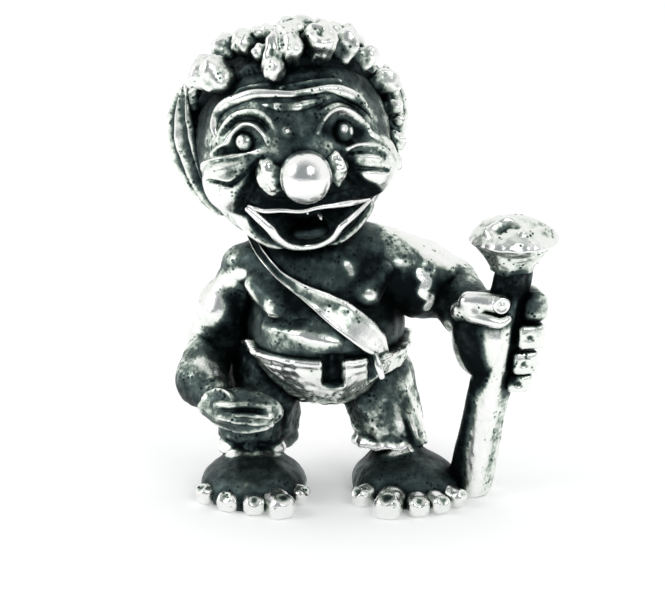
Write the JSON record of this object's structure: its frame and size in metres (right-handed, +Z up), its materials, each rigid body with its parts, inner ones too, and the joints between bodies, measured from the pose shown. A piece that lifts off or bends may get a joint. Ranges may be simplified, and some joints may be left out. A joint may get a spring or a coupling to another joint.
{
  "type": "troll figurine",
  "caption": "Small standing troll figurine in oxidised silver, with curly hair, a bulbous nose, an open laughing mouth, a strap across its chest, ragged trousers and a knobbed club.",
  "frame": {"origin": "on the floor, under the middle of the whole figure's bounding box", "axes": "+Z up from the floor, -Y the way the troll faces, +X towards its own left hand and the club"},
  "size_m": [0.025, 0.0156, 0.0302],
  "materials": {
    "polished_silver": "sterling silver, tumbled bright on what stands out, with dark oxide in the hollows",
    "cast_silver": "cast sterling silver with fine pits, part polished and part oxidised",
    "oxidised_silver": "sterling silver under a dark green-grey oxide, softly shining"
  },
  "bodies": {
    "root": {"brow": "polished_silver", "club_head": "polished_silver", "club_shaft": "cast_silver", "hair": "cast_silver", "head": "cast_silver", "left_ear": "cast_silver", "left_eye": "oxidised_silver", "left_fist": "polished_silver", "left_foot": "oxidised_silver", "left_forearm": "cast_silver", "left_thumb": "polished_silver", "left_toes": "polished_silver", "left_trouser_leg": "cast_silver", "left_upper_arm": "cast_silver", "lips": "polished_silver", "nose": "polished_silver", "right_ear": "cast_silver", "right_eye": "oxidised_silver", "right_foot": "oxidised_silver", "right_forearm": "cast_silver", "right_hand": "polished_silver", "right_toes": "polished_silver", "right_trouser_leg": "cast_silver", "right_upper_arm": "cast_silver", "shoulder_strap": "polished_silver", "tongue": "oxidised_silver", "torso": "oxidised_silver", "trousers": "polished_silver"}
  },
  "joints": []
}
